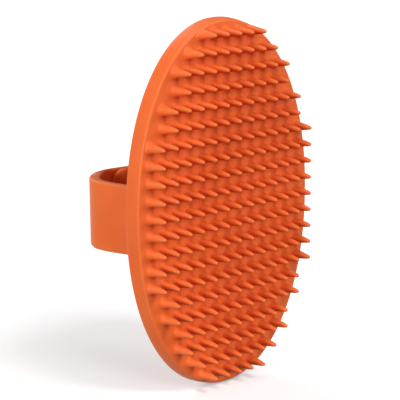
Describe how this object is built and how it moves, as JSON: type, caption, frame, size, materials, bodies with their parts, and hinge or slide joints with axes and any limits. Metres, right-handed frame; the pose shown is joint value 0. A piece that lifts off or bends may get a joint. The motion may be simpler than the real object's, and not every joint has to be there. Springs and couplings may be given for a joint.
{
  "type": "curry comb",
  "caption": "Oval rubber curry comb: a thick plate with rows of pointed conical teeth and a wide rubber hand strap behind it that buttons to itself.",
  "frame": {"origin": "centre of the plate's flat palm face", "axes": "+Z along the comb's length, up as it stands on its end; +Y out of the palm face, towards the hand strap, so the teeth point along -Y; +X across the comb"},
  "size_m": [0.0936, 0.057, 0.1508],
  "materials": {
    "pad_rubber": "satin, moulded natural rubber, orange",
    "strap_rubber": "satin, moulded natural rubber, orange"
  },
  "bodies": {
    "comb": {"tooth_pad": "pad_rubber", "strap_root_near": "strap_rubber", "strap_root_far": "strap_rubber"},
    "flap": {"strap_flap": "strap_rubber"},
    "tongue": {"strap_tongue": "strap_rubber", "stud_1": "strap_rubber", "stud_2": "strap_rubber", "stud_3": "strap_rubber", "stud_4": "strap_rubber"}
  },
  "joints": [
    {"name": "flap_open", "type": "hinge", "parent": "comb", "child": "flap", "pos_m": [-0.026, 0.04093, -0.0024], "axis": [0, 0, 1], "range_deg": [0, 120], "stiffness_Nm_per_rad": 0.06},
    {"name": "tongue_press", "type": "hinge", "parent": "comb", "child": "tongue", "pos_m": [0.02745, 0.03588, -0.0024], "axis": [0, 0, 1], "range_deg": [0, 25], "stiffness_Nm_per_rad": 0.08}
  ]
}
